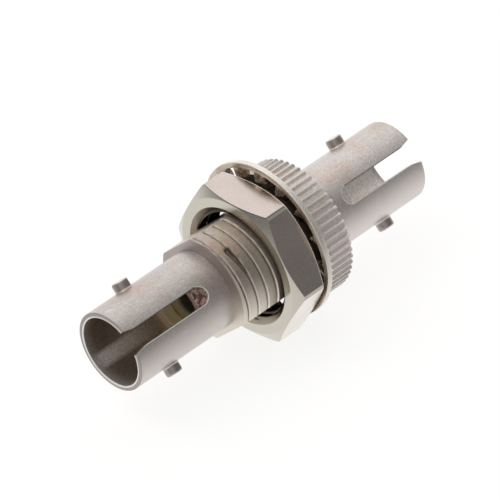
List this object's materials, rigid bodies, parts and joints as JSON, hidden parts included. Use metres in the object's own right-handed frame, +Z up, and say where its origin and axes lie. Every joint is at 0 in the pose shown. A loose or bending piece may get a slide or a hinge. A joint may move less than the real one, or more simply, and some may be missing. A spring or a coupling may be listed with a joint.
{
  "type": "st fibre adapter",
  "caption": "Panel-mount bayonet fibre adapter: two slotted barrels, threaded shank, fluted flange, lock washer and hexagon nut; joins two ferrules.",
  "frame": {"origin": "on the ground under the middle of the adapter's length, where the nut's lowest flat and the washer's rim lie", "axes": "+X along the adapter's axis from the threaded half's mouth to the rear mouth, +Z up"},
  "size_m": [0.032, 0.0142, 0.0139],
  "materials": {
    "nickel_plated_body": "satin nickel plate on machined brass",
    "nickel_plated_nut": "bright nickel plate on machined brass",
    "washer_steel": "nickel-plated spring steel, stamped",
    "holder_brass": "machined brass, dull",
    "sleeve_bronze": "phosphor bronze strip, rolled"
  },
  "bodies": {
    "adapter": {"front_body": "nickel_plated_body", "rear_body": "nickel_plated_body", "sleeve_holder_front": "holder_brass", "sleeve_holder_rear": "holder_brass", "split_sleeve": "sleeve_bronze"},
    "washer": {"lock_washer": "washer_steel"},
    "nut": {"hex_nut": "nickel_plated_nut"}
  },
  "joints": [
    {"name": "washer_travel", "type": "slide", "parent": "adapter", "child": "washer", "axis": [1, 0, 0], "range_m": [-0.0037, 0.00045]},
    {"name": "nut_turn", "type": "hinge", "parent": "washer", "child": "nut", "pos_m": [0, 0, 0.00625], "axis": [1, 0, 0], "range_deg": [-1260, 154]}
  ],
  "couplings": [
    {"joint": "nut_turn", "follows": "washer_travel", "rad_per_m": 5938.7}
  ]
}
